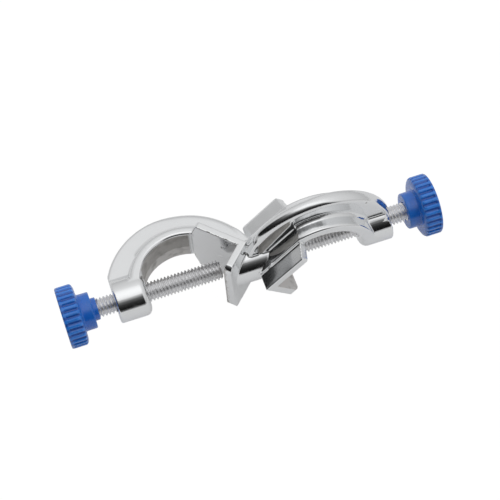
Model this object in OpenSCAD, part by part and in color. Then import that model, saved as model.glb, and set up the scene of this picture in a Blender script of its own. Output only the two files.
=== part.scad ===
// Double boss head: a cast clamp that joins an upright stand rod to a
// horizontal cross rod. One casting carries two C shaped arms, turned a
// quarter turn from each other. Each arm has a vee jaw at the middle of the
// casting and a threaded boss at its free end, and a knobbed stud runs
// through the boss to press the rod into the vee.
//
// Frame: X runs along the line that both studs share. The stand rod lies
// along Z, in the jaw on the -X side. The cross rod lies along Y, in the jaw
// on the +X side. The origin is where the two jaws' backs meet.
//
// Each half of the casting is drawn once, in its own plane: x goes outward
// along the stud, y goes toward the arm, and z goes across the arm.

/* [Studs] */
// Outside diameter of the stud's thread
stud_d = 7.94; // [6:0.01:9]
// Pitch of the thread, 18 turns to the inch
thread_pitch = 1.411; // [1.2:0.001:1.8]
// Depth of the thread, crest to root
thread_depth = 0.86; // [0.5:0.01:1]
// Distance from the centre of the head to the tip of each stud
stud_tip_at = 12.8; // [10.5:0.1:30]
// Distance from the centre of the head to the buried end of the stand stud
stud_end_at = 75.6; // [73:0.1:76.4]
// Chamfer on the stud's tip
stud_chamfer = 0.8; // [0.3:0.1:1.2]

/* [Knobs] */
// Diameter of the knob over its ridges
knob_d = 25.0; // [20:0.1:30]
// Distance from the centre of the head to the stand knob's outer face
knob_face_at = 78.2; // [77:0.1:80]
// How much nearer to the head the cross knob sits on its stud
cross_knob_in = 0.5; // [0:0.1:0.8]
// Length of the ridged part of the knob
ridge_len = 6.1; // [4:0.1:6.4]
// Length of the knob's head, with its rounded shoulder
knob_head_len = 7.4; // [7:0.1:8]
// Diameter of the knob's hub
hub_d = 14.9; // [12:0.1:18]
// Whole length of the knob, without its collar
knob_len = 12.2; // [11:0.1:14]
// Number of grooves round the knob
groove_n = 30; // [20:1:36]
// Radius of each groove
groove_r = 0.85; // [0.5:0.05:1]
// Depth of each groove
groove_depth = 0.5; // [0.2:0.05:0.7]
// Height of the plain rim that is left at the knob's outer face
rim_len = 1.0; // [0.5:0.1:2]
// Radius of the knob's outer edge
knob_edge_r = 0.6; // [0.2:0.1:0.9]
// Width of the knob's rounded shoulder
shoulder_w = 3.2; // [1:0.1:4]
// Bevel of the hub's inner end
hub_bevel = 0.4; // [0.1:0.1:1]
// Radius of the short collar on the stand knob's hub
collar_r = 4.6; // [4.4:0.1:6]
// Length of that collar
collar_len = 2.0; // [0.5:0.1:3]

/* [Vee jaws] */
// Distance from the centre of the head to the back corner of each vee
vee_back_at = 1.2; // [0.8:0.1:3]
// Wall thickness of the stand vee at its upper end
stand_vee_t = 2.8; // [2:0.1:3.4]
// Extra thickness of the stand vee's walls at its lower end
stand_vee_taper = 1.3; // [0:0.1:1.6]
// Wall thickness of the cross vee
cross_vee_t = 3.4; // [2:0.1:4]
// Half length of the vee along the rod, toward its upper, or front, end
vee_near = 15.2; // [12:0.1:18]
// Half length of the vee along the rod, toward its lower, or back, end
vee_far = 16.0; // [12:0.1:18]
// Outside length of the leg on the arm's side, at its ends
arm_leg = 21.9; // [18:0.1:24]
// Extra length of that leg where it meets the arm
arm_leg_extra = 1.7; // [0:0.1:2.5]
// Outside length of the stand vee's free leg
stand_free_leg = 14.9; // [10:0.1:18]
// Outside length of the cross vee's free leg
cross_free_leg = 16.2; // [10:0.1:18]
// Radius of the legs' corners at the end that lies lower, or further back
leg_far_r = 3.0; // [1:0.1:4]
// Radius of the legs' corners at the other end
leg_near_r = 1.2; // [0.5:0.1:3]
// Radius of the edges along the legs' lower, or back, end, as a share of their thickness
leg_edge_share = 0.44; // [0.2:0.01:0.45]

/* [Arms] */
// Radius of the arm's inner face at its edges
arm_in_r = 18.6; // [17:0.1:20]
// Height of the ridge along the middle of the inner face
arm_ridge = 0.7; // [0:0.1:1.5]
// Radius of the flange's outer face
flange_r = 23.2; // [21:0.1:25]
// Width of the flange
flange_w = 16.8; // [12:0.1:20]
// Distance from the centre of the head to the middle of the inner arc
arm_c_x = 27.1; // [26:0.1:29]
// Drop of the inner arc's middle below the stud line
arm_c_drop = 2.5; // [1:0.1:4]
// Radius of the rib's crown
rib_r = 32.0; // [30:0.1:34]
// Distance from the centre of the head to the middle of the crown's arc
rib_c_x = 27.8; // [26:0.1:29]
// Thickness of the rib
rib_t = 5.6; // [4.6:0.1:6]
// Radius of the arc across the crown
crown_arc_r = 6.2; // [4:0.1:12]
// Radius of the crown's edges
crown_edge_r = 0.8; // [0.5:0.1:1.4]
// Thickness of the pad that carries the flange along the vee's leg
pad_t = 1.5; // [0.5:0.1:3]
// Fillet at the root of the rib
root_fillet = 1.0; // [0:0.1:2]

/* [Bosses] */
// Diameter of the boss round each stud
boss_d = 17.5; // [15:0.1:20]
// Distance from the centre of the head to the boss's inner end
boss_in_at = 43.9; // [42:0.1:46]
// Distance from the centre of the head to the boss's outer end
boss_out_at = 57.2; // [54:0.1:60]
// How far both bosses sit off their places, toward the cross side
boss_shift = 0.5; // [0:0.1:0.8]
// Radius of the boss's outer edge
boss_out_edge = 0.8; // [0.3:0.1:2]
// Radius of the boss's inner edge
boss_in_edge = 2.8; // [0.5:0.1:4]

/* [Neck] */
// Radius of the round neck between the two jaws
neck_r = 8.2; // [6:0.1:9]
// Shift of the neck's middle away from the stand arm
neck_shift = 0.4; // [0:0.1:1]

/* [Pocket] */
// Thickness of the cross arm's rib where it meets the neck
root_rib_t = 6.0; // [5.7:0.1:8]
// Distance from the centre of the head to the end of that thick part
root_rib_to = 17.5; // [16:0.1:20]
// Depth of the pocket in that part of the rib
pocket_depth = 1.2; // [0:0.1:1.5]
// Distance from the centre of the head to the pocket's near side
pocket_near = 2.4; // [1:0.1:4]
// Distance from the centre of the head to the pocket's far side
pocket_far = 16.0; // [12:0.1:17]
// Height of the pocket's lower side above the stud line
pocket_low = 7.0; // [6:0.1:10]
// Width of the wall left between the pocket and the crown's rounded edge
pocket_rim = 1.4; // [1:0.1:3]
// Slope of the pocket's side along the vee, from the stud line
pocket_slope = 50.9; // [45:0.1:60]

/* [Clearances] */
// Gap all round each stud in its boss
stud_gap = 0.06; // [0.02:0.01:0.1]
// Gap all round each stud in its knob
knob_gap = 0.04; // [0.02:0.01:0.1]

/* [Hidden] */
$fn = 96;
// how far one shape runs into the next where they join
bury = 0.5;
s45 = sqrt(0.5);
stud_r = stud_d / 2;
boss_r = boss_d / 2;
half_flange = flange_w / 2;
half_rib = rib_t / 2;
// inner corner of the cross vee, measured along the stud line
cross_vee_in_at = vee_back_at + cross_vee_t / s45;
arm_c = [arm_c_x, -arm_c_drop];
rib_c = [rib_c_x, -arm_c_drop + 0.2];
// the pad's outer line keeps this offset from the line x = y
pad_off = vee_back_at - pad_t / s45;
far = 60;
// the pad runs along the leg between these heights above the stud line
pad_from = 1.2;
pad_to = 18.8;
// height from which the flange follows its arc
arc_from = 10;
// distance from the centre of the head at which the rib's root fillet starts
fillet_from = 18.2;
// where the pocket's sloping side starts, from the pad's line
pocket_start = [1.8, 3.9];
// how much lower than the crown's edge the rib's thick root ends
root_inset = crown_edge_r + 0.8;
// half length of the cylinder that the neck is cut from
neck_reach = 12;
shoulder = knob_head_len - ridge_len;
groove_len = ridge_len + 3;

// ---- outlines in the plane of one half --------------------------------

// everything inside the C, where the rod goes
module throat_2d(in_at) {
    tip = arm_leg * s45;
    translate(arm_c) circle(arm_in_r);
    polygon([[in_at, 0], [in_at + tip, tip], arm_c + [0, arm_in_r - 2], arm_c, [in_at, -2]]);
    translate([in_at + 2, -far]) square([boss_in_at - in_at - 2, far]);
}

// the half of the plane that lies outside the pad's line
module beyond_pad_2d() {
    polygon([[pad_off - far, -far], [pad_off + far, far], [-far, far]]);
}

module flange_plan_2d(in_at) {
    difference() {
        union() {
            difference() {
                translate(arm_c) circle(flange_r);
                beyond_pad_2d();
            }
            polygon([[vee_back_at, 0], [pad_off + pad_from, pad_from], [pad_off + pad_to, pad_to],
                     [vee_back_at + pad_to - pad_t, pad_to - pad_t]]);
        }
        throat_2d(in_at);
        translate([-far, -far]) square([2 * far, far]);
    }
}

module rib_plan_2d(inset, in_at) {
    difference() {
        translate(rib_c) circle(rib_r - inset);
        throat_2d(in_at);
        translate([-far, -far]) square([2 * far, far + 1]);
        translate([-far, -far]) square([far - vee_back_at - bury, 2 * far]);
    }
}

// ---- parts of one half --------------------------------------------------

// one plate of the vee: its inner face is flat, its free corners and the
// inner edge of its far end are round, and its back is left too thick
module leg_plate(len, extra, t, edge_r) {
    over = 3;
    intersection() {
        translate([-over, over, 0]) leg_outline(len + over, extra, t + over);
        rotate([90, 0, 90]) translate([0, 0, -over]) linear_extrude(len + extra + over) {
            polygon([[-t, vee_near], [-t, edge_r - vee_far], [edge_r - t, -vee_far], [over, -vee_far],
                     [over, vee_near]]);
            translate([edge_r - t, edge_r - vee_far]) circle(edge_r);
        }
    }
}

module leg_outline(len, extra, t) {
    rotate([90, 0, 0]) linear_extrude(t) {
        translate([0, leg_far_r - vee_far]) square([len, vee_far + vee_near - leg_far_r - leg_near_r]);
        translate([0, -vee_far]) square([len - leg_far_r, leg_far_r + 1]);
        translate([0, vee_near - leg_near_r - 1]) square([len - leg_near_r, leg_near_r + 1]);
        translate([len - leg_far_r, leg_far_r - vee_far]) circle(leg_far_r);
        translate([len - leg_near_r, vee_near - leg_near_r]) circle(leg_near_r);
        if (extra > 0)
            polygon([[len - 1, leg_far_r - vee_far], [len, leg_far_r - vee_far],
                     [len + extra, -half_flange - 0.3], [len + extra, half_flange + 0.3],
                     [len, vee_near - leg_near_r], [len - 1, vee_near - leg_near_r]]);
    }
}

// everything in front of a plate's back, which leans out by taper toward
// the far end and is round along that end
module before_back(taper, edge_r) {
    lean = atan(taper / (vee_near + vee_far));
    middle = [taper - edge_r * (1 + sin(lean)) / cos(lean), edge_r - vee_far];
    rotate([90, 0, 90]) translate([0, 0, -far]) linear_extrude(2 * far) {
        polygon([[-far, vee_near], [-far, -vee_far], [middle[0], -vee_far],
                 middle + edge_r * [cos(lean), sin(lean)], [0, vee_near]]);
        translate(middle) circle(edge_r);
    }
}

module vee(free_leg, t, taper) {
    edge_r = leg_edge_share * (t + taper);
    translate([vee_back_at, 0, 0]) intersection() {
        union() {
            rotate([0, 0, 45]) leg_plate(arm_leg, arm_leg_extra, t, edge_r);
            rotate([0, 0, -45]) mirror([0, 1, 0]) leg_plate(free_leg, 0, t, edge_r);
        }
        rotate([0, 0, 45]) before_back(taper, edge_r);
        rotate([0, 0, -45]) mirror([0, 1, 0]) before_back(taper, edge_r);
    }
}

// T section flange: its inner face has a low ridge along the middle
module flange(in_at) {
    intersection() {
        translate([arm_c[0], arm_c[1], 0]) rotate_extrude()
            polygon([[arm_in_r - arm_ridge, 0], [arm_in_r, half_flange], [flange_r, half_flange],
                     [flange_r, -half_flange], [arm_in_r, -half_flange]]);
        translate([0, 0, -half_flange]) linear_extrude(flange_w) {
            difference() {
                polygon([[arc_from + 2, arc_from], [arc_from + 2, far], [far, far], [far, 0],
                         [arm_c[0], 0], arm_c]);
                polygon([[in_at, 0], [in_at + 16, 16], arm_c + [0, 2]]);
                beyond_pad_2d();
            }
        }
    }
    translate([0, 0, -half_flange]) linear_extrude(flange_w) flange_plan_2d(in_at);
}

// section of the rib: its crown is an arc, and the crown's edges are round
module rib_section_2d() {
    r = crown_edge_r;
    arc_x = rib_r - crown_arc_r;
    edge_x = arc_x + sqrt(pow(crown_arc_r - r, 2) - pow(half_rib - r, 2));
    // where the edge's rounding meets the arc
    meet = [arc_x, 0] + [edge_x - arc_x, half_rib - r] * crown_arc_r / (crown_arc_r - r);
    polygon([[4, half_rib], [edge_x, half_rib], meet, [meet[0], -meet[1]], [edge_x, -half_rib],
             [4, -half_rib]]);
    for (s = [-1, 1]) translate([edge_x, s * (half_rib - r)]) circle(r);
    intersection() {
        translate([arc_x, 0]) circle(crown_arc_r);
        translate([meet[0] - 1, -meet[1]]) square([crown_arc_r, 2 * meet[1]]);
    }
}

module rib(in_at) {
    intersection() {
        translate([rib_c[0], rib_c[1], 0]) rotate_extrude() rib_section_2d();
        translate([0, 0, -half_rib]) linear_extrude(2 * half_rib) rib_plan_2d(0, in_at);
    }
    // fillet where the rib stands on the flange
    intersection() {
        translate([arm_c[0], arm_c[1], 0]) rotate_extrude()
            polygon([[flange_r - 1, half_rib + root_fillet], [flange_r, half_rib + root_fillet],
                     [flange_r + root_fillet, half_rib - 0.1], [flange_r + root_fillet, 0.1 - half_rib],
                     [flange_r, -half_rib - root_fillet], [flange_r - 1, -half_rib - root_fillet]]);
        translate([fillet_from, 1, -half_flange]) cube([far, far, flange_w]);
    }
}

// thicker root of the cross arm's rib, with its pocket
module root_swell(in_at) {
    difference() {
        translate([0, 0, -root_rib_t / 2]) linear_extrude(root_rib_t)
            intersection() {
                rib_plan_2d(root_inset, in_at);
                beyond_pad_2d();
                translate([-far, 0]) square([far + root_rib_to, far]);
            }
        translate([0, 0, root_rib_t / 2 - pocket_depth]) linear_extrude(root_rib_t) pocket_2d();
    }
}

module pocket_2d() {
    intersection() {
        translate(rib_c) circle(rib_r - crown_edge_r - pocket_rim);
        translate(pocket_start + [pad_off, 0]) rotate(pocket_slope) square(far);
        translate([pocket_near, pocket_low]) square([pocket_far - pocket_near, far]);
    }
}

module boss(shift) {
    translate([shift, 0, 0]) rotate([0, 90, 0]) rotate_extrude() {
        len = boss_out_at - boss_in_at;
        translate([0, boss_in_at]) square([boss_r - boss_in_edge, len]);
        translate([0, boss_in_at + boss_in_edge]) square([boss_r, len - boss_in_edge - boss_out_edge]);
        translate([0, boss_in_at + boss_in_edge]) square([boss_r - boss_out_edge, len - boss_in_edge]);
        translate([boss_r - boss_in_edge, boss_in_at + boss_in_edge]) circle(boss_in_edge);
        translate([boss_r - boss_out_edge, boss_out_at - boss_out_edge]) circle(boss_out_edge);
    }
}

// one half of the casting; the arm is trimmed flat at the boss's outer end
module half_casting(free_leg, t, taper, shift) {
    in_at = vee_back_at + t / s45 - bury;
    vee(free_leg, t, taper);
    boss(shift);
    intersection() {
        union() {
            flange(in_at);
            rib(in_at);
        }
        translate([-far, -0.5, -far]) cube([far + boss_out_at + shift, 2 * far, 2 * far]);
    }
}

// ---- whole pieces -------------------------------------------------------

// cross half: its arm rises along +Z and its jaw runs along Y
module cross_half() {
    rotate([90, 0, 0]) {
        half_casting(cross_free_leg, cross_vee_t, 0, boss_shift);
        root_swell(cross_vee_in_at - bury);
    }
}

// stand half: its arm reaches along +Y and its jaw runs along Z
module stand_half() {
    mirror([1, 0, 0]) half_casting(stand_free_leg, stand_vee_t, stand_vee_taper, -boss_shift);
}

module neck() {
    cut_at = vee_back_at + stand_vee_t * s45;
    difference() {
        translate([-neck_reach, -neck_shift, 0]) rotate([0, 90, 0]) cylinder(r = neck_r, h = 2 * neck_reach);
        translate([0, 0, -far]) linear_extrude(2 * far)
            polygon([[-cut_at, 0], [-cut_at - far, far], [-cut_at - far, -far]]);
        rotate([90, 0, 0]) translate([0, 0, -far]) linear_extrude(2 * far)
            polygon([[cut_at, 0], [cut_at + far, far], [cut_at + far, -far]]);
    }
}

module clamp_body() {
    color("silver") difference() {
        union() {
            stand_half();
            cross_half();
            neck();
        }
        for (s = [-1, 1]) translate([s * (boss_in_at + boss_out_at) / 2, 0, 0]) rotate([0, 90, 0])
            cylinder(r = stud_r + stud_gap, h = boss_out_at - boss_in_at + 6, center = true);
    }
}

// threaded stud along +X: the thread is drawn as a row of rings of its own
// depth and pitch, and the end inside the knob is plain
module stud(thread_to, end_at) {
    crest = thread_pitch / 8;
    root = thread_pitch / 4;
    first = stud_tip_at + stud_chamfer + crest + thread_pitch / 2;
    count = floor((thread_to - first) / thread_pitch);
    color("gainsboro") rotate([0, 90, 0]) rotate_extrude()
        polygon(concat(
            [[0, stud_tip_at], [stud_r - stud_chamfer, stud_tip_at], [stud_r, stud_tip_at + stud_chamfer]],
            [for (k = [0:count - 1], p = [[0, -(thread_pitch - crest) / 2], [thread_depth, -root / 2],
                                         [thread_depth, root / 2], [0, (thread_pitch - crest) / 2]])
                [stud_r - p[0], first + k * thread_pitch + p[1]]],
            [[stud_r, end_at], [0, end_at]]));
}

// profile of the knob's head, with its rounded shoulder
module knob_head_2d() {
    r = knob_d / 2;
    ridge_at = knob_face_at - ridge_len;
    translate([0, ridge_at]) square([r, ridge_len - knob_edge_r]);
    translate([0, ridge_at]) square([r - knob_edge_r, ridge_len]);
    translate([r - knob_edge_r, knob_face_at - knob_edge_r]) circle(knob_edge_r);
    polygon([[0, ridge_at - shoulder], [r - shoulder_w, ridge_at - shoulder],
             [r - shoulder_w / 2, ridge_at - shoulder * 0.82],
             [r - shoulder_w / 6, ridge_at - shoulder * 0.42], [r, ridge_at], [0, ridge_at]]);
}

// grooved knob, drawn with its axis along +X and its outer face outward
module knob(collar) {
    r = knob_d / 2;
    hub_in = knob_face_at - knob_len;
    color("royalblue") difference() {
        rotate([0, 90, 0]) union() {
            rotate_extrude() {
                knob_head_2d();
                translate([0, hub_in]) square([hub_d / 2 - hub_bevel, knob_len - 1]);
                translate([0, hub_in + hub_bevel]) square([hub_d / 2, knob_len - 1 - hub_bevel]);
            }
            if (collar) translate([0, 0, hub_in - collar_len]) cylinder(r = collar_r, h = collar_len + 1);
        }
        rotate([0, 90, 0]) translate([0, 0, hub_in - collar_len - 1])
            cylinder(r = stud_r + knob_gap, h = stud_end_at + 0.2 - (hub_in - collar_len - 1));
        for (i = [0:groove_n - 1]) rotate([360 * i / groove_n, 0, 0])
            translate([knob_face_at - rim_len - groove_len, 0, r + groove_r - groove_depth])
                rotate([0, 90, 0]) cylinder(r = groove_r, h = groove_len, $fn = 32);
    }
}

module stand_stud() {
    mirror([1, 0, 0]) stud(knob_face_at - knob_len - collar_len, stud_end_at);
}
module stand_knob() { mirror([1, 0, 0]) knob(true); }
module cross_stud() {
    stud(knob_face_at - knob_len - cross_knob_in, stud_end_at - cross_knob_in);
}
module cross_knob() { translate([-cross_knob_in, 0, 0]) knob(false); }

clamp_body();
stand_stud();
stand_knob();
cross_stud();
cross_knob();
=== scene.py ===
import bmesh
import bpy
import math
from mathutils import Matrix, Vector, noise


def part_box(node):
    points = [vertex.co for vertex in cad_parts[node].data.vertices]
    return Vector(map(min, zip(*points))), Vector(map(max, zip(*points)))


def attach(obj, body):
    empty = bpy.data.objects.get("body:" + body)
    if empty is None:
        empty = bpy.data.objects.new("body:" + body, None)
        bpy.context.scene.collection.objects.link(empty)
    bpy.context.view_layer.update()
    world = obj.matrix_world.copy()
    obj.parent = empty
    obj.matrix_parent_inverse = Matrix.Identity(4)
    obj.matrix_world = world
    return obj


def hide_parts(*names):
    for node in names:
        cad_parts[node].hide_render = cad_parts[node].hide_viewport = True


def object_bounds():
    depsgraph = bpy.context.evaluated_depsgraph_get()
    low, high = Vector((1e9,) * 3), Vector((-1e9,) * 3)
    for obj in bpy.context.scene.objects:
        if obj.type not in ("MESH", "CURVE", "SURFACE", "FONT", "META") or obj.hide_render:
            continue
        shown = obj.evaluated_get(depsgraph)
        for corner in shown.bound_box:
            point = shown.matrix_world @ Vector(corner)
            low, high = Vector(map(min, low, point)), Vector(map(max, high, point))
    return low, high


# Boss head clamp: one polished casting with two arms, two threaded studs and two blue knobs.
# Metres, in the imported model's frame: X along the studs, stand rod along Z at -X, cross rod along Y at +X.

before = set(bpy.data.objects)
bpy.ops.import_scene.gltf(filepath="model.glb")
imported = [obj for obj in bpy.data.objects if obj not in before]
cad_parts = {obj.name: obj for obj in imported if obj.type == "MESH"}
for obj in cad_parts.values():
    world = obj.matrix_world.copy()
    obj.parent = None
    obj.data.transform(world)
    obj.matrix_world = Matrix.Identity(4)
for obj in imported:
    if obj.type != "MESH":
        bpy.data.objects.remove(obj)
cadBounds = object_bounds()
scene = bpy.context.scene
scene.view_settings.view_transform = "Standard"

mm = 0.001
s45 = math.sqrt(0.5)  # sine of 45 degrees, for the vees' slopes


def smooth(low, high, x):
    t = min(max((x - low) / (high - low), 0.0), 1.0)
    return t * t * (3 - 2 * t)


def addPiece(name, mesh, body, node, material):
    mesh.materials.clear()
    mesh.materials.append(material)
    piece = bpy.data.objects.new(name, mesh)
    scene.collection.objects.link(piece)
    for face in mesh.polygons:
        face.use_smooth = True
    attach(piece, body)
    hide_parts(node)


# Node helpers: short calls keep the node trees readable.
def plug(tree, source, socket):
    if isinstance(source, bpy.types.NodeSocket):
        tree.links.new(source, socket)
    else:
        socket.default_value = source


def addNode(tree, kind, **values):
    node = tree.nodes.new(kind)
    for key, value in values.items():
        if hasattr(node, key):
            setattr(node, key, value)
        else:
            node.inputs[key].default_value = value
    return node


def attribute(tree, name):
    return addNode(tree, "ShaderNodeAttribute", attribute_name=name).outputs["Fac"]


def mixColor(tree, factor, a, b):
    node = addNode(tree, "ShaderNodeMix", data_type="RGBA")
    plug(tree, factor, node.inputs[0])
    plug(tree, a, node.inputs[6])
    plug(tree, b, node.inputs[7])
    return node.outputs[2]


def mixValue(tree, factor, a, b):
    node = tree.nodes.new("ShaderNodeMix")
    plug(tree, factor, node.inputs[0])
    plug(tree, a, node.inputs[2])
    plug(tree, b, node.inputs[3])
    return node.outputs[0]


def calc(tree, operation, a, b=0.0, clamp=False):
    node = addNode(tree, "ShaderNodeMath", operation=operation, use_clamp=clamp)
    plug(tree, a, node.inputs[0])
    plug(tree, b, node.inputs[1])
    return node.outputs[0]


def mapRange(tree, value, low, high, start=0.0, end=1.0, kind="SMOOTHSTEP"):
    node = addNode(tree, "ShaderNodeMapRange", interpolation_type=kind)
    plug(tree, value, node.inputs[0])
    for socket, number in zip(node.inputs[1:5], (low, high, start, end)):
        socket.default_value = number
    return node.outputs[0]


def addBump(tree, shader, height, values):
    bump = addNode(tree, "ShaderNodeBump", Strength=values["bumpStrength"], Distance=values["bumpDepth"])
    tree.links.new(height, bump.inputs["Height"])
    tree.links.new(bump.outputs[0], shader.inputs["Normal"])


def newMaterial(name):
    material = bpy.data.materials.new(name)
    material.use_nodes = True
    return material, material.node_tree, material.node_tree.nodes["Principled BSDF"]


def newGroup(name, inputs, outputs):
    group = bpy.data.node_groups.new(name, "ShaderNodeTree")
    for label, value in inputs:
        socket = group.interface.new_socket(label, in_out="INPUT", socket_type="NodeSocketFloat")
        socket.default_value = value
    for label in outputs:
        group.interface.new_socket(label, in_out="OUTPUT", socket_type="NodeSocketFloat")
    return group, group.nodes.new("NodeGroupInput"), group.nodes.new("NodeGroupOutput")


def useGroup(tree, group, values):
    node = tree.nodes.new("ShaderNodeGroup")
    node.node_tree = group
    for key, value in values.items():
        node.inputs[key].default_value = value
    return node


# Handling: faint smudges and hair scratches, on metal and plastic alike.
handlingValues = {
    "smudgeRange": (0.38, 0.68),
    "scratchScale": 420.0,
    "scratchRange": (0.62, 0.78),
    "scratchStretch": (9.0, 1.0, 2.2),
    "scratchTurn": (0.4, 0.3, 0.9),
}


def buildHandlingGroup(values):
    group, start, end = newGroup("handlingMarks", [("Scale", 60.0), ("Scratch", 0.5)], ["Smudge", "Height"])
    place = addNode(group, "ShaderNodeTexCoord").outputs["Object"]
    soft = addNode(group, "ShaderNodeTexNoise", Detail=3.0, Roughness=0.55)
    group.links.new(place, soft.inputs["Vector"])
    group.links.new(start.outputs["Scale"], soft.inputs["Scale"])
    smudge = mapRange(group, soft.outputs["Fac"], *values["smudgeRange"])
    stretch = addNode(group, "ShaderNodeMapping", Scale=values["scratchStretch"],
                      Rotation=values["scratchTurn"])
    group.links.new(place, stretch.inputs["Vector"])
    hair = addNode(group, "ShaderNodeTexNoise", Scale=values["scratchScale"], Detail=2.0, Roughness=0.7)
    group.links.new(stretch.outputs[0], hair.inputs["Vector"])
    lines = mapRange(group, hair.outputs["Fac"], *values["scratchRange"])
    height = calc(group, "MULTIPLY", lines, start.outputs["Scratch"])
    group.links.new(smudge, end.inputs["Smudge"])
    group.links.new(height, end.inputs["Height"])
    return group


# Grain: fine bumps with scattered pits, for cast skin, zinc plate and moulded plastic.
grainValues = {
    "pitCells": 0.55,  # scale of the cells that hold the pits, as a share of the grain's
    "pitRange": (0.05, 0.16),
    "patchScale": 170.0,
    "patchRange": (0.56, 0.7),
}


def buildGrainGroup(values):
    group, start, end = newGroup("surfaceGrain", [("Scale", 900.0), ("Pits", 0.5)], ["Height", "Pit Mask"])
    place = addNode(group, "ShaderNodeTexCoord").outputs["Object"]
    grain = addNode(group, "ShaderNodeTexNoise", Detail=4.0, Roughness=0.6)
    group.links.new(place, grain.inputs["Vector"])
    group.links.new(start.outputs["Scale"], grain.inputs["Scale"])
    cells = addNode(group, "ShaderNodeTexVoronoi")
    group.links.new(place, cells.inputs["Vector"])
    cellScale = calc(group, "MULTIPLY", start.outputs["Scale"], values["pitCells"])
    group.links.new(cellScale, cells.inputs["Scale"])
    near = mapRange(group, cells.outputs["Distance"], *values["pitRange"], 1.0, 0.0)
    patches = addNode(group, "ShaderNodeTexNoise", Scale=values["patchScale"], Detail=1.0)
    group.links.new(place, patches.inputs["Vector"])
    where = mapRange(group, patches.outputs["Fac"], *values["patchRange"])
    pits = calc(group, "MULTIPLY", calc(group, "MULTIPLY", near, where), start.outputs["Pits"])
    group.links.new(calc(group, "SUBTRACT", grain.outputs["Fac"], pits), end.inputs["Height"])
    group.links.new(pits, end.inputs["Pit Mask"])
    return group


handlingGroup = buildHandlingGroup(handlingValues)
grainGroup = buildGrainGroup(grainValues)
print("shader groups built")

castingLook = {
    "polished": (0.86, 0.87, 0.88, 1),
    "castSkin": (0.80, 0.78, 0.76, 1),
    # a dark tone for the cast skin's random patches and pits, and for painted shade in creases, on the upper
    # inner faces and a darker pocket
    "dirtAndShade": (0.28, 0.27, 0.25, 1),
    # painted black shade in nicks and the pinhole
    "nickShade": (0.03, 0.03, 0.03, 1),
    "polishedRoughness": 0.10,
    "smudgeRoughness": 0.07,  # added where the polish is smudged
    "castRoughness": 0.46,
    "grainRoughness": 0.12,  # added on the high grain of the cast skin
    "grainRange": (0.3, 0.8),
    "castMetallic": 0.4,
    "darkeningShare": 0.55,  # how far a darkening of 1 goes toward the dark colour: painted shade in creases and on the upper inner faces, a darker pocket
    "nickShadeRange": (1.15, 1.6),  # darkening at which nicks and the pinhole start to take the painted black shade, and are fully shaded
    "pitSoil": 0.5,
    "patchScale": 260.0,
    "patchRange": (0.45, 0.75),
    "patchSoil": 0.55,
    "marks": {"Scale": 95.0, "Scratch": 0.35},
    "fineGrain": {"Scale": 1500.0, "Pits": 0.6},
    "coarseGrain": {"Scale": 950.0, "Pits": 1.0},
    # heights of the fine grain, the scratches and the cast skin
    "fineHeight": 0.14,
    "scratchHeight": 0.05,
    "castHeight": 1.6,
    "bumpStrength": 0.5,
    "bumpDepth": 0.06 * mm,
}


def buildCastingMaterial(look):
    material, tree, shader = newMaterial("polishedCasting")
    skin, darkening = attribute(tree, "castSkin"), attribute(tree, "darkening")
    marks = useGroup(tree, handlingGroup, look["marks"])
    fine = useGroup(tree, grainGroup, look["fineGrain"])
    coarse = useGroup(tree, grainGroup, look["coarseGrain"])
    tree.links.new(mapRange(tree, skin, 0.0, 1.0, 1.0, look["castMetallic"]), shader.inputs["Metallic"])

    patchy = addNode(tree, "ShaderNodeTexNoise", Scale=look["patchScale"], Detail=3.0)
    tree.links.new(addNode(tree, "ShaderNodeTexCoord").outputs["Object"], patchy.inputs["Vector"])
    patches = mapRange(tree, patchy.outputs["Fac"], *look["patchRange"], 0.0, look["patchSoil"])
    color = mixColor(tree, skin, look["polished"], mixColor(tree, patches, look["castSkin"], look["dirtAndShade"]))
    pits = calc(tree, "MULTIPLY", fine.outputs["Pit Mask"], look["pitSoil"])
    color = mixColor(tree, pits, color, look["dirtAndShade"])
    # painted shade in creases and on the upper inner faces, and a darker pocket, mixed toward the dark colour
    color = mixColor(tree, calc(tree, "MULTIPLY", darkening, look["darkeningShare"]), color, look["dirtAndShade"])
    # painted black shade of nicks and the pinhole
    color = mixColor(tree, mapRange(tree, darkening, *look["nickShadeRange"]), color, look["nickShade"])
    tree.links.new(color, shader.inputs["Base Color"])

    polished, cast = look["polishedRoughness"], look["castRoughness"]
    smoothPart = mapRange(tree, marks.outputs["Smudge"], 0.0, 1.0, polished,
                          polished + look["smudgeRoughness"], "LINEAR")
    roughPart = mapRange(tree, coarse.outputs["Height"], *look["grainRange"], cast,
                         cast + look["grainRoughness"], "LINEAR")
    tree.links.new(mixValue(tree, skin, smoothPart, roughPart), shader.inputs["Roughness"])

    polish = calc(tree, "ADD", calc(tree, "MULTIPLY", fine.outputs["Height"], look["fineHeight"]),
                  calc(tree, "MULTIPLY", marks.outputs["Height"], look["scratchHeight"]))
    castBump = calc(tree, "MULTIPLY", coarse.outputs["Height"],
                    calc(tree, "MULTIPLY", skin, look["castHeight"]))
    addBump(tree, shader, calc(tree, "ADD", polish, castBump), look)
    return material


studLook = {
    "crest": (0.96, 0.96, 0.97, 1),
    # painted shade in the thread roots
    "root": (0.84, 0.84, 0.85, 1),
    "roughness": 0.33,
    "smudgeRoughness": 0.12,
    "smudgeShade": 0.25,
    "marks": {"Scale": 240.0, "Scratch": 0.6},
    "grain": {"Scale": 2400.0, "Pits": 0.4},
    "bumpStrength": 0.35,
    "bumpDepth": 0.03 * mm,
}


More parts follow.
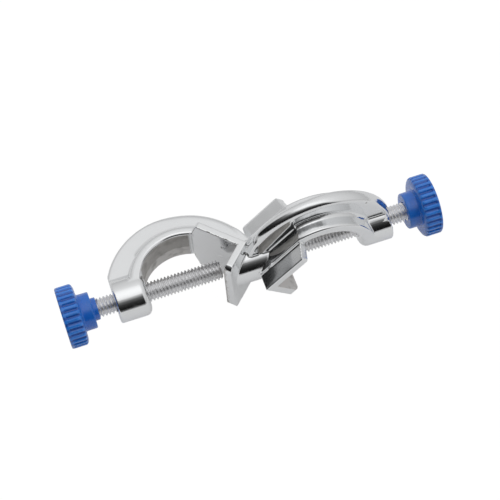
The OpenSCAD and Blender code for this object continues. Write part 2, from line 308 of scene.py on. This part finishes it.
def buildStudMaterial(look):
    material, tree, shader = newMaterial("platedThread")
    shader.inputs["Metallic"].default_value = 1.0
    marks = useGroup(tree, handlingGroup, look["marks"])
    fine = useGroup(tree, grainGroup, look["grain"])
    # thread roots darker than the crests: painted shade
    shade = mixColor(tree, attribute(tree, "threadRoot"), look["crest"], look["root"])
    smudge = calc(tree, "MULTIPLY", marks.outputs["Smudge"], look["smudgeShade"])
    tree.links.new(mixColor(tree, smudge, shade, look["root"]), shader.inputs["Base Color"])
    rough = calc(tree, "MULTIPLY", marks.outputs["Smudge"], look["smudgeRoughness"])
    tree.links.new(calc(tree, "ADD", rough, look["roughness"]), shader.inputs["Roughness"])
    addBump(tree, shader, calc(tree, "ADD", fine.outputs["Height"], marks.outputs["Height"]), look)
    return material


knobLook = {
    # shaded blue in the grooves and lit blue on the ridges: painted shade and light, with a little wear
    "deep": (0.002, 0.10, 0.52, 1),
    "worn": (0.03, 0.28, 0.98, 1),
    "wearAndLightRange": (0.85, 1.05),  # share of the ridges' painted light and wear where there is no smudge, and under a full one
    "roughness": 0.22,
    "smudgeRoughness": 0.1,
    "refraction": 1.5,
    "gloss": 0.5,
    "glossRoughness": 0.12,
    "marks": {"Scale": 130.0, "Scratch": 0.5},
    "grain": {"Scale": 1700.0, "Pits": 0.25},
    "bumpStrength": 0.25,
    "bumpDepth": 0.04 * mm,
}


def buildKnobMaterial(look):
    material, tree, shader = newMaterial("bluePlastic")
    shader.inputs["IOR"].default_value = look["refraction"]
    shader.inputs["Coat Weight"].default_value = look["gloss"]
    shader.inputs["Coat Roughness"].default_value = look["glossRoughness"]
    marks = useGroup(tree, handlingGroup, look["marks"])
    fine = useGroup(tree, grainGroup, look["grain"])
    smudge = mapRange(tree, marks.outputs["Smudge"], 0.0, 1.0, *look["wearAndLightRange"])
    # painted light on the ridges and painted shade in the grooves, with a little wear
    wearAndLight = calc(tree, "MULTIPLY", attribute(tree, "ridgeWearAndLight"), smudge, clamp=True)
    tree.links.new(mixColor(tree, wearAndLight, look["deep"], look["worn"]), shader.inputs["Base Color"])
    rough = calc(tree, "MULTIPLY", marks.outputs["Smudge"], look["smudgeRoughness"])
    tree.links.new(calc(tree, "ADD", rough, look["roughness"]), shader.inputs["Roughness"])
    addBump(tree, shader, calc(tree, "ADD", fine.outputs["Height"], marks.outputs["Height"]), look)
    return material


castingMaterial = buildCastingMaterial(castingLook)
studMaterial = buildStudMaterial(studLook)
knobMaterial = buildKnobMaterial(knobLook)
print("materials built")

# Thread: rows of one profile follow the helix, so crests run unbroken round the stud.
threadValues = {
    "pitch": 25.4 / 18 * mm,
    "crestRadius": 3.97 * mm,
    "depth": 0.86 * mm,
    "segments": 48,
    # share of the pitch, share of the depth
    "profile": [(0.0, 0.0), (0.06, 0.02), (0.13, 0.14), (0.25, 0.5), (0.37, 0.86), (0.45, 0.98),
                (0.5, 1.0), (0.55, 0.98), (0.63, 0.86), (0.75, 0.5), (0.87, 0.14), (0.94, 0.02)],
    "chamfer": 0.8 * mm,
    "chamferSlope": 0.9,
    "flatEnd": 0.95,  # faces turned this far toward the ends stay flat
}


def threadSurface(mesh, rootLayer, xLow, xHigh, values):
    pitch, steps, profile = values["pitch"], values["segments"], values["profile"]
    samples = len(profile)
    tip = min(abs(xLow), abs(xHigh))
    first = math.floor(xLow / pitch) - 2
    turns = math.ceil(xHigh / pitch) + 2 - first
    rows = []
    for k in range(turns * samples + 1):
        turn, sample = divmod(k, samples)
        along, drop = profile[sample]
        row = []
        for i in range(steps):
            angle = 2 * math.pi * i / steps
            x = pitch * (first + turn + along + i / steps)
            chamfer = max(0.0, abs(x) - tip) * values["chamferSlope"] - values["chamfer"]
            radius = values["crestRadius"] + min(-values["depth"] * drop, chamfer)
            vert = mesh.verts.new((x, radius * math.cos(angle), radius * math.sin(angle)))
            vert[rootLayer] = drop
            row.append(vert)
        rows.append(row)
    for k in range(len(rows) - 1):
        for i in range(steps - 1):
            mesh.faces.new((rows[k + 1][i], rows[k + 1][i + 1], rows[k][i + 1], rows[k][i]))
        turned = k + samples  # the seam steps on by one whole turn
        if turned + 1 < len(rows):
            mesh.faces.new((rows[k + 1][-1], rows[turned + 1][0], rows[turned][0], rows[k][-1]))
    for x, way in ((xLow, -1), (xHigh, 1)):
        bmesh.ops.bisect_plane(mesh, geom=mesh.verts[:] + mesh.edges[:] + mesh.faces[:], dist=1e-9,
                               plane_co=(x, 0, 0), plane_no=(way, 0, 0), clear_outer=True)
    loose = [v for v in mesh.verts if not v.link_faces]
    bmesh.ops.delete(mesh, geom=loose, context="VERTS")


def buildStud(name, node, body, values):
    low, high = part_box(node)
    mesh = bmesh.new()
    rootLayer = mesh.verts.layers.float.new("threadRoot")
    threadSurface(mesh, rootLayer, low.x, high.x, values)
    rims = [e for e in mesh.edges if e.is_boundary]
    bmesh.ops.holes_fill(mesh, edges=rims, sides=0)
    bmesh.ops.recalc_face_normals(mesh, faces=mesh.faces[:])
    data = bpy.data.meshes.new(name)
    mesh.to_mesh(data)
    mesh.free()
    addPiece(name, data, body, node, studMaterial)
    for face in data.polygons:  # flat ends keep a crisp edge
        if abs(face.normal.x) > values["flatEnd"]:
            face.use_smooth = False
    print("stud built:", name, len(data.polygons), "faces")


# Knob: the profile is turned round X, and thirty rounded grooves are cut to one depth.
knobValues = {
    "grooves": 30,
    "grooveDepth": 0.62 * mm,
    "grooveShape": (0.18, 0.95),  # shares of the wave at which a groove's side starts and ends
    "stepsPerGroove": 12,
    "rim": 1.0 * mm,
    "runIn": 0.45 * mm,
    "grooveEnd": 7.45 * mm,
    "radius": 12.5 * mm,
    "wearAndLightRadii": (11.2 * mm, 12.2 * mm),
    "boreRadius": 4.01 * mm,
    "boreMiddle": 6.0 * mm,
    "boreEnd": 2.4 * mm,
    # millimetres in from the outer face, radius in millimetres
    "head": [(0.20, 0.0), (0.20, 4.0), (0.16, 7.5), (0.04, 10.2), (0.0, 11.6), (0.05, 11.95), (0.18, 12.25),
             (0.38, 12.43), (0.6, 12.5), (0.98, 12.5), (1.0, 12.5), (1.16, 12.5), (1.34, 12.5), (1.55, 12.5),
             (2.4, 12.5), (3.4, 12.5), (4.4, 12.5), (5.4, 12.5), (5.9, 12.5), (6.2, 12.42), (6.5, 12.22),
             (6.78, 11.9), (7.02, 11.45), (7.22, 10.9), (7.35, 10.3), (7.4, 9.7), (7.4, 9.0), (7.42, 8.1),
             (7.5, 7.8), (7.66, 7.6), (7.9, 7.5), (8.4, 7.47), (10.0, 7.45), (11.5, 7.43), (11.85, 7.4),
             (12.05, 7.3), (12.16, 7.15), (12.2, 6.95)],
    "flatEnd": [(12.2, 6.0), (12.2, 5.2), (12.2, 4.4), (12.14, 4.15), (12.0, 4.01)],
    "collarEnd": [(12.2, 6.0), (12.2, 5.2), (12.22, 4.85), (12.32, 4.68), (12.5, 4.6), (13.2, 4.59),
                  (13.9, 4.57), (14.1, 4.5), (14.19, 4.36), (14.2, 4.15), (14.1, 4.01)],
}


def knobRing(mesh, wearAndLightLayer, x, s, radius, values):
    # one ring of the knob, s in from its outer face, with the grooves cut into it
    steps = values["grooves"] * values["stepsPerGroove"]
    ring = []
    for i in range(steps):
        angle = 2 * math.pi * i / steps
        wave = 0.5 + 0.5 * math.cos(angle * values["grooves"])
        groove = smooth(*values["grooveShape"], wave)
        cut = values["radius"] - values["grooveDepth"] * groove
        r = radius
        if s < values["grooveEnd"] and cut < radius:
            r = radius + (cut - radius) * smooth(values["rim"], values["rim"] + values["runIn"], s)
        vert = mesh.verts.new((x, r * math.cos(angle), r * math.sin(angle)))
        # painted light and shade with a little wear: 1 lit on the ridges, 0 shaded in the grooves, half on
        # the faces and the hub
        vert[wearAndLightLayer] = 0.5 + (0.5 - groove) * smooth(*values["wearAndLightRadii"], radius)
        ring.append(vert)
    return ring


def buildKnob(name, node, body, end, values):
    low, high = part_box(node)
    outward = 1 if high.x > 0 else -1
    face = high.x if outward > 0 else low.x
    profile = [(s * mm, r * mm) for s, r in values["head"] + values[end]]
    profile += [(values["boreMiddle"], values["boreRadius"]), (values["boreEnd"], values["boreRadius"]),
                (values["boreEnd"], 0.0)]
    mesh = bmesh.new()
    wearAndLightLayer = mesh.verts.layers.float.new("ridgeWearAndLight")
    rings = []
    for s, radius in profile:
        x = face - outward * s
        if radius == 0.0:
            rings.append([mesh.verts.new((x, 0, 0))])
        else:
            rings.append(knobRing(mesh, wearAndLightLayer, x, s, radius, values))
    steps = max(len(ring) for ring in rings)
    for a, b in zip(rings, rings[1:]):
        for i in range(steps):
            j = (i + 1) % steps
            corners = [a[i % len(a)], a[j % len(a)], b[j % len(b)], b[i % len(b)]]
            mesh.faces.new(list(dict.fromkeys(corners)))
    bmesh.ops.recalc_face_normals(mesh, faces=mesh.faces[:])
    data = bpy.data.meshes.new(name)
    mesh.to_mesh(data)
    mesh.free()
    addPiece(name, data, body, node, knobMaterial)
    print("knob built:", name, len(data.polygons), "faces")


# Casting: the solid is remeshed and relaxed a little, which rounds all its edges. The edges that
# polishing wears more are then moved onto rounder ones. Both arms share one set of places: u out along
# the stud, v toward the arm, w across it. The slacks allow for the remeshed surface's unevenness.
castingValues = {
    "weld": 0.002 * mm,
    "voxel": 0.26 * mm,
    "relax": 3,  # smoothing passes
    "facesKept": 0.38,
    "waveHeight": 0.02 * mm,
    "waveSize": 7.0 * mm,
    "smallWave": (0.5, 0.45),  # height and size of the smaller waves, as shares of the larger ones
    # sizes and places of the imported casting
    "armCentre": (27.1 * mm, -2.5 * mm),
    "armInner": 18.6 * mm,
    "veeInner": {"stand": 5.16 * mm, "cross": 6.01 * mm},
    "bossInner": {"stand": 43.4 * mm, "cross": 44.4 * mm},
    "halfJaw": 15.6 * mm,
    "halfFlange": 8.4 * mm,
    "halfRib": 2.8 * mm,
    "flangeRadius": 23.2 * mm,
    "crownCentre": (27.8 * mm, -2.3 * mm),
    "crownRadius": 32.0 * mm,
    "crownArc": 6.2 * mm,
    # the pocket in the cross arm's root: its low corner, its slope, its span and its outer radius
    "pocketStart": (0.88 * mm, 3.9 * mm),
    "pocketSlope": 50.9,
    "pocketSlack": 0.2 * mm,
    "pocketSpan": (2.2 * mm, 16.2 * mm),
    "pocketLow": 6.8 * mm,
    "pocketRadius": 30.0 * mm,
    "pocketDepth": (2.3 * mm, 2.93 * mm),
    "pocketHollow": 0.55 * mm,
    "hollowReach": 2.4 * mm,
    # the rib between flange and crown leans: how much, and where that fades in and out
    "ribLean": 0.05,
    "ribSkin": 2.2 * mm,
    "leanStart": (16 * mm, 20 * mm),
    "leanEnd": (43 * mm, 47 * mm),
    "leanAcross": (2.8 * mm, 4.2 * mm),
    # worn edges: how round they are, and where that fades in and out
    "crownEdge": (1.4 * mm, 2.79 * mm),
    "crownTurn": (72, 100),
    "flangeEdge": {"stand": 2.4 * mm, "cross": 0.9 * mm},
    "flangeSlack": 0.1 * mm,
    "innerEdge": 1.2 * mm,
    "hollow": 2.8 * mm,
    "hollowSlack": 0.2 * mm,
    "legCorner": 4.2 * mm,
    "legEnd": {"stand": 15.65 * mm, "cross": 17.25 * mm},
    "wornAbove": (3 * mm, 5 * mm),
    "wornBeyond": (0.5 * mm, 3 * mm),
    "sideSlack": 0.2 * mm,
    "innerSlack": 0.15 * mm,
    "bossFade": 4 * mm,
    # as-cast faces: the vees' insides, the arms' insides and the pocket
    "skinBand": 0.6 * mm,
    "skinFade": 0.5 * mm,
    "skinFacing": (0.5, 0.8),
    "skinLow": 1.5 * mm,
    "skinEdge": (0.1 * mm, 0.5 * mm),
    # a fine ridge where the halves of the die met, along the middle of the arms' inner faces
    "partingRidge": 0.25 * mm,
    "partingWide": 0.45 * mm,
    "partingAbove": (4 * mm, 6 * mm),
    "partingBand": 1.2 * mm,
    # darkening: painted shade in creases and on the upper inner faces, and a darker pocket; 1 is a full coat,
    # and more than that is the painted black shade of nicks and the pinhole
    "creaseRelax": 40,  # smoothing passes that fill a crease up, and so show how deep it was
    "creaseDepth": (0.05 * mm, 0.35 * mm),
    # painted shade on the half of an inner face above the parting line
    "upperShade": 0.7,
    "upperAbove": (4 * mm, 5 * mm),
    "upperFade": 0.5 * mm,
    # a darker pocket
    "pocketDarkening": 1.1,
    # painted black shade of nicks and the pinhole
    "nickShadeLevel": 1.8,
    "nickSize": 0.7 * mm,
    "nickShare": 0.2,
    "nickBand": (0.5 * mm, 0.45 * mm),
    "pinhole": (47.6 * mm, -2.8 * mm, 20.8 * mm),
    "pinholeRadius": 0.6 * mm,
    "pinholeDepth": 0.5 * mm,
}


def sideOf(point):
    return "stand" if point.x < 0 else "cross"


def toArm(side, vector):
    return (-vector.x, vector.y, vector.z) if side == "stand" else (vector.x, vector.z, -vector.y)


def fromArm(side, u, v, w):
    return Vector((-u, v, w)) if side == "stand" else Vector((u, -w, v))


def radiusFrom(centre, u, v):
    return math.hypot(u - centre[0], v - centre[1])


def atRadius(centre, u, v, radius, newRadius):
    # the point on the same line from the centre, at the new radius
    return (centre[0] + (u - centre[0]) * newRadius / radius,
            centre[1] + (v - centre[1]) * newRadius / radius)


def pocketInset(side, u, v, w, values):
    # how far a point lies inside the outline of the cross arm's pocket, and 0 outside it
    floor, rim = values["pocketDepth"]
    if side == "stand" or not floor < w < rim:
        return 0.0
    low, high = values["pocketSpan"]
    slope = math.radians(values["pocketSlope"])
    startU, startV = values["pocketStart"]
    beyond = (v - startV) * math.cos(slope) - (u - startU) * math.sin(slope)
    inset = min(u - low, high - u, v - values["pocketLow"], beyond + values["pocketSlack"],
                values["pocketRadius"] - radiusFrom(values["crownCentre"], u, v))
    return max(0.0, inset)


def castSkinAt(point, normal, values):
    # how far a point lies on the faces that polishing didn't reach: 0 polished, 1 as cast
    side = sideOf(point)
    u, v, w = toArm(side, point)
    faceU, faceV = toArm(side, normal)[:2]
    inset = pocketInset(side, u, v, w, values)
    if inset > 0:
        return smooth(0.0, values["skinFade"], inset)
    band = values["skinBand"]
    if abs(u - abs(v) - values["veeInner"][side]) * s45 < band:
        return smooth(*values["skinFacing"], (faceU - math.copysign(faceV, v)) * s45)
    centreU, centreV = values["armCentre"]
    reach = radiusFrom(values["armCentre"], u, v)
    if v > values["skinLow"] and u < values["bossInner"][side] and reach < values["armInner"] + band:
        edge = values["halfFlange"] - values["innerEdge"]
        start, stop = values["skinEdge"]
        clear = 1 - smooth(edge + start, edge + stop, abs(w))
        inward = ((centreU - u) * faceU + (centreV - v) * faceV) / reach
        return clear * smooth(*values["skinFacing"], inward)
    return 0.0


def darkeningAt(point, skin, values):
    # darkening: a darker pocket, painted shade on the half of an inner face above the parting line, painted
    # black shade of nicks along one edge of the vee
    side = sideOf(point)
    u, v, w = toArm(side, point)
    if pocketInset(side, u, v, w, values) > 0:
        return values["pocketDarkening"] * skin
    bandW, bandOff = values["nickBand"]
    off = abs(u - v - values["veeInner"][side]) * s45
    if side == "stand" and v > 0 and w > values["halfJaw"] - bandW and off < bandOff:
        return values["nickShadeLevel"] * smooth(0.0, values["nickShare"], noise.noise(point / values["nickSize"]))
    return values["upperShade"] * skin * smooth(*values["upperAbove"], v) * smooth(0.0, values["upperFade"], w)


def partingRidge(point, values):
    # how a point of an arm's inner face moves onto the ridge along its middle
    side = sideOf(point)
    u, v, w = toArm(side, point)
    centreU, centreV = values["armCentre"]
    reach = radiusFrom(values["armCentre"], u, v)
    onFace = values["armInner"] - values["partingBand"] <= reach <= values["armInner"]
    if not onFace or v < values["partingAbove"][0] or u > values["bossInner"][side]:
        return Vector()
    across = 1 - smooth(0.0, values["partingWide"], abs(w))
    height = values["partingRidge"] * across * smooth(*values["partingAbove"], v)
    return fromArm(side, (centreU - u) * height / reach, (centreV - v) * height / reach, 0.0)


def roundedCorner(w, r, cornerW, cornerR, radius):
    # a point of a square edge moves onto a round one, whose middle is the corner given
    outW, outR = abs(w) - cornerW, r - cornerR
    length = math.hypot(outW, outR)
    if outW <= 0 or outR <= 0 or length <= radius:
        return w, r
    return math.copysign(cornerW + outW * radius / length, w), cornerR + outR * radius / length


def filletedCorner(w, r, web, wall, radius, slack):
    # a point in the inward corner between web and wall moves onto a round hollow
    if not (web - slack < abs(w) < web + radius and wall - slack < r < wall + radius):
        return w, r
    newW, newR = roundedCorner(web + radius - abs(w), wall + radius - r, 0.0, 0.0, radius)
    return math.copysign(web + radius - newW, w), wall + radius - newR


def wornLeg(side, u, v, w, values):
    # the free leg's corners, rounded in plan
    radius, end = values["legCorner"], values["legEnd"][side]
    t = (u - v) * s45
    newW, newT = roundedCorner(w, t, values["halfJaw"] - radius, end - radius, radius)
    step = (newT - t) * s45
    return fromArm(side, u + step, v - step, newW)


def wornInside(side, u, v, w, values):
    # the edges along an arm's inner face
    centre, radius = values["armCentre"], values["innerEdge"]
    r = radiusFrom(centre, u, v)
    newW, newR = roundedCorner(w, -r, values["halfFlange"] - radius, -(values["armInner"] + radius), radius)
    return fromArm(side, *atRadius(centre, u, v, r, -newR), newW)


def wornOutside(side, u, v, w, values):
    # the edges of an arm's flange and of its crown, with the hollows between them
    centre, radius = values["armCentre"], values["flangeEdge"][side]
    cornerW, cornerR = values["halfFlange"] - radius, values["flangeRadius"] - radius
    r = radiusFrom(centre, u, v)
    if r > values["flangeRadius"] + values["flangeSlack"] or abs(w) < cornerW:
        centre = values["crownCentre"]
        thin, thick = values["crownEdge"]
        turn = math.degrees(math.atan2(v - centre[1], u - centre[0]))
        radius = thin + (thick - thin) * smooth(*values["crownTurn"], turn)
        arc = values["crownArc"]
        cornerW = values["halfRib"] - radius
        cornerR = values["crownRadius"] - arc + math.sqrt((arc - radius) ** 2 - cornerW ** 2)
        r = radiusFrom(centre, u, v)
    newW, newR = roundedCorner(w, r, cornerW, cornerR, radius)
    newU, newV = atRadius(centre, u, v, r, newR)
    worn = fromArm(side, newU, newV, newW)
    below = values["pocketRadius"] - r
    if side == "cross" and newW > values["ribSkin"] and below > 0:
        inset = pocketInset(side, u, v, w, values)
        sunk = values["pocketHollow"] * smooth(0.0, values["hollowReach"], inset)
        along = smooth(*values["leanStart"], u) * (1 - smooth(*values["leanEnd"], u))
        worn.y += sunk + values["ribLean"] * below * along * (1 - smooth(*values["leanAcross"], newW))
    if side == "stand" and newW > 0 and u < values["bossInner"][side]:
        centre = values["armCentre"]
        r = radiusFrom(centre, newU, newV)
        filletW, filletR = filletedCorner(newW, r, values["halfRib"], values["flangeRadius"],
                                          values["hollow"], values["hollowSlack"])
        worn = fromArm(side, *atRadius(centre, newU, newV, r, filletR), filletW)
    return worn


def wornPlace(point, values):
    # where polishing has brought a point, which rounds the arms' edges more than the rest
    side = sideOf(point)
    u, v, w = toArm(side, point)
    if v < 0:
        return wornLeg(side, u, v, w, values)
    share = smooth(*values["wornAbove"], v) * smooth(*values["wornBeyond"], u)
    r = radiusFrom(values["armCentre"], u, v)
    inside = r < values["armInner"] - values["innerSlack"]
    if share == 0.0 or inside or abs(w) > values["halfFlange"] + values["sideSlack"]:
        return point.copy()
    if r < values["armInner"] + values["innerEdge"]:
        boss = values["bossInner"][side]
        fade = 1 - smooth(boss - values["bossFade"], boss, u)
        return point.lerp(wornInside(side, u, v, w, values), share * fade)
    return point.lerp(wornOutside(side, u, v, w, values), share)


def bakeModifier(data, kind, **settings):
    holder = bpy.data.objects.new("holder", data)
    scene.collection.objects.link(holder)
    modifier = holder.modifiers.new(kind, kind)
    for key, value in settings.items():
        setattr(modifier, key, value)
    graph = bpy.context.evaluated_depsgraph_get()
    result = bpy.data.meshes.new_from_object(holder.evaluated_get(graph), depsgraph=graph)
    bpy.data.objects.remove(holder)
    return result


def relaxedPlaces(data, iterations):
    relaxed = bakeModifier(data, "SMOOTH", factor=0.5, iterations=iterations)
    places = [vert.co.copy() for vert in relaxed.vertices]
    bpy.data.meshes.remove(relaxed)
    return places


def remeshedSolid(values):
    mesh = bmesh.new()
    mesh.from_mesh(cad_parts["clamp_body"].data)
    bmesh.ops.remove_doubles(mesh, verts=mesh.verts[:], dist=values["weld"])
    rough = bpy.data.meshes.new("castingRough")
    mesh.to_mesh(rough)
    mesh.free()
    voxel = values["voxel"] * 1
    dense = bakeModifier(rough, "REMESH", mode="VOXEL", voxel_size=voxel)
    bpy.data.meshes.remove(rough)
    return dense


def castWave(point, values):
    # the slight waviness of a casting polished by hand
    height, size = values["smallWave"]
    large = values["waveSize"]
    return noise.noise(point / large) + height * noise.noise(point / (size * large))


def buildCasting(values):
    dense = remeshedSolid(values)
    crisp = relaxedPlaces(dense, values["relax"])
    relaxed = relaxedPlaces(dense, values["creaseRelax"])
    mesh = bmesh.new()
    mesh.from_mesh(dense)
    skinLayer = mesh.verts.layers.float.new("castSkin")
    darkeningLayer = mesh.verts.layers.float.new("darkening")
    for vert, place in zip(mesh.verts, crisp):
        vert.co = place
    mesh.normal_update()
    hole = Vector(values["pinhole"])
    places = []
    for vert, place in zip(mesh.verts, relaxed):
        skin = castSkinAt(vert.co, vert.normal, values)
        dent = 1 - smooth(0.0, values["pinholeRadius"], (vert.co - hole).length)
        # painted shade in concave creases, deeper where heavy smoothing moves a point further out
        crease = smooth(*values["creaseDepth"], (place - vert.co).dot(vert.normal)) * (1 - skin)
        vert[skinLayer] = skin
        # the darkening holds painted shade of creases, upper inner faces, nicks and the pinhole, and the
        # darker pocket
        vert[darkeningLayer] = max(crease, darkeningAt(vert.co, skin, values), values["nickShadeLevel"] * dent)
        bumps = castWave(vert.co, values) * values["waveHeight"] - dent * values["pinholeDepth"]
        places.append(wornPlace(vert.co, values) + partingRidge(vert.co, values) + vert.normal * bumps)
    for vert, place in zip(mesh.verts, places):
        vert.co = place
    mesh.to_mesh(dense)
    mesh.free()
    data = bakeModifier(dense, "DECIMATE", ratio=values["facesKept"])
    data.name = "casting"
    bpy.data.meshes.remove(dense)
    addPiece("casting", data, "casting", "clamp_body", castingMaterial)
    data.calc_loop_triangles()
    print("casting built:", len(data.loop_triangles), "triangles")


buildCasting(castingValues)
buildStud("standStud", "stand_stud", "stand_screw", threadValues)
buildStud("crossStud", "cross_stud", "cross_screw", threadValues)
buildKnob("standKnob", "stand_knob", "stand_grip", "collarEnd", knobValues)
buildKnob("crossKnob", "cross_knob", "cross_grip", "flatEnd", knobValues)

# Studio: a pale floor under a bright dome. The dark side of the room stands on the horizon, before the
# clamp and to its left and up to the camera's height, and draws the bands in the metal.
studioValues = {
    "floorDrop": 2 * mm,
    "floorSize": 6.0,
    "floorColor": (0.93, 0.93, 0.93, 1),
    "floorRoughness": 0.9,
    # the floor's own light, and how much of it the camera and the metal see in place of the lit floor
    "floorGlow": 1.06,
    "floorShown": 0.93,
    "floorInMetal": 0.25,
    # height of a direction, brightness
    "dome": [(-1.0, 0.52), (0.0, 0.50), (0.2, 0.56), (0.45, 0.64), (0.86, 0.80), (0.95, 1.00), (1.0, 1.10)],
    # the dark side: its middle, half width and soft edge in degrees, and the heights where it starts
    "darkTurn": -44.0,
    "darkWide": 71.0,
    "darkEdge": 7.0,
    "darkFoot": (0.05, 0.09),
    # degrees above the floor, brightness left there
    "darkFade": [(0, 0.02), (24, 0.025), (35, 0.06), (46, 0.15), (53, 0.28), (58, 0.5), (63, 0.8), (70, 1.0)],
    "brightest": 2.0,  # top of the scale on which both curves are drawn
}


def buildFloor(values):
    z = cadBounds[0][2] - values["floorDrop"]
    half = values["floorSize"] / 2
    data = bpy.data.meshes.new("floor")
    data.from_pydata([(-half, -half, z), (half, -half, z), (half, half, z), (-half, half, z)], [],
                     [(0, 1, 2, 3)])
    floor = bpy.data.objects.new("floor", data)
    scene.collection.objects.link(floor)
    material, tree, shader = newMaterial("floorPaper")
    shader.inputs["Base Color"].default_value = values["floorColor"]
    shader.inputs["Roughness"].default_value = values["floorRoughness"]
    shader.inputs["Specular IOR Level"].default_value = 0.0
    glow = addNode(tree, "ShaderNodeEmission", Strength=values["floorGlow"])
    ray = addNode(tree, "ShaderNodeLightPath").outputs
    sharp = calc(tree, "MAXIMUM", ray["Is Glossy Ray"], ray["Is Transmission Ray"])
    factor = calc(tree, "MAXIMUM", calc(tree, "MULTIPLY", ray["Is Camera Ray"], values["floorShown"]),
                  calc(tree, "MULTIPLY", sharp, values["floorInMetal"]))
    mix = tree.nodes.new("ShaderNodeMixShader")
    tree.links.new(factor, mix.inputs[0])
    tree.links.new(shader.outputs[0], mix.inputs[1])
    tree.links.new(glow.outputs[0], mix.inputs[2])
    tree.links.new(mix.outputs[0], tree.nodes["Material Output"].inputs["Surface"])
    data.materials.append(material)


def dotProduct(tree, vector, axis):
    node = addNode(tree, "ShaderNodeVectorMath", operation="DOT_PRODUCT")
    tree.links.new(vector, node.inputs[0])
    node.inputs[1].default_value = axis
    return node.outputs["Value"]


def smoothCurve(tree, value, points, top):
    # a smooth curve through the points, which run over the whole span of the value
    low, high = points[0][0], points[-1][0]
    node = tree.nodes.new("ShaderNodeFloatCurve")
    line = node.mapping.curves[0]
    places = [((x - low) / (high - low), y / top) for x, y in points]
    line.points[0].location, line.points[1].location = places[0], places[-1]
    for place in places[1:-1]:
        line.points.new(*place)
    node.mapping.update()
    tree.links.new(mapRange(tree, value, low, high, kind="LINEAR"), node.inputs["Value"])
    return calc(tree, "MULTIPLY", node.outputs[0], top)


def buildDome(values):
    world = bpy.data.worlds.new("studioDome")
    scene.world = world
    world.use_nodes = True
    tree = world.node_tree
    way = addNode(tree, "ShaderNodeTexCoord").outputs["Generated"]
    height = dotProduct(tree, way, (0, 0, 1))
    dome = smoothCurve(tree, height, values["dome"], values["brightest"])

    turn = math.radians(values["darkTurn"])
    azimuth = calc(tree, "ARCTAN2", dotProduct(tree, way, (math.cos(turn), math.sin(turn), 0)),
                   dotProduct(tree, way, (math.sin(turn), -math.cos(turn), 0)))
    half, edge = math.radians(values["darkWide"]), math.radians(values["darkEdge"])
    within = mapRange(tree, calc(tree, "ABSOLUTE", azimuth), half - edge, half + edge, 1.0, 0.0)
    foot = mapRange(tree, height, *values["darkFoot"])
    rise = calc(tree, "MULTIPLY", calc(tree, "ARCSINE", height), math.degrees(1))
    fade = smoothCurve(tree, rise, values["darkFade"], values["brightest"])
    dark = calc(tree, "MULTIPLY", dome, fade)
    level = mixValue(tree, calc(tree, "MULTIPLY", foot, within), dome, dark)

    back = tree.nodes["Background"]
    back.inputs["Color"].default_value = (1, 1, 1, 1)
    seen = addNode(tree, "ShaderNodeLightPath").outputs["Is Camera Ray"]
    tree.links.new(mixValue(tree, seen, level, 1.0), back.inputs["Strength"])


buildFloor(studioValues)
buildDome(studioValues)
print("studio built")

cameraValues = {
    # degrees, metres, the lens and the sensor in millimetres, shares of the frame
    "azimuth": -14.933,
    "elevation": 60.132,
    "roll": -4.433,
    "distance": 0.59649,
    "aim": (0.002437, 0.004278),
    "clip": (0.01, 20.0),
    "lens": 107.37,
    "sensor": 36.0,
    "shift": (-0.01451, -0.00195),
}


def buildCamera(values):
    a, e, r = (math.radians(values[k]) for k in ("azimuth", "elevation", "roll"))
    toward = Vector((math.sin(a) * math.cos(e), -math.cos(a) * math.cos(e), math.sin(e)))
    side = Vector((0, 0, 1)).cross(toward).normalized()
    up = toward.cross(side)
    right = side * math.cos(r) + up * math.sin(r)
    top = up * math.cos(r) - side * math.sin(r)
    place = toward * values["distance"] + right * values["aim"][0] + top * values["aim"][1]
    data = bpy.data.cameras.new("camera")
    data.lens, data.sensor_width = values["lens"], values["sensor"]
    data.shift_x, data.shift_y = values["shift"]
    data.clip_start, data.clip_end = values["clip"]
    camera = bpy.data.objects.new("camera", data)
    scene.collection.objects.link(camera)
    matrix = Matrix((right, top, toward)).transposed().to_4x4()
    matrix.translation = place
    camera.matrix_world = matrix
    scene.camera = camera
    print("camera placed")


buildCamera(cameraValues)
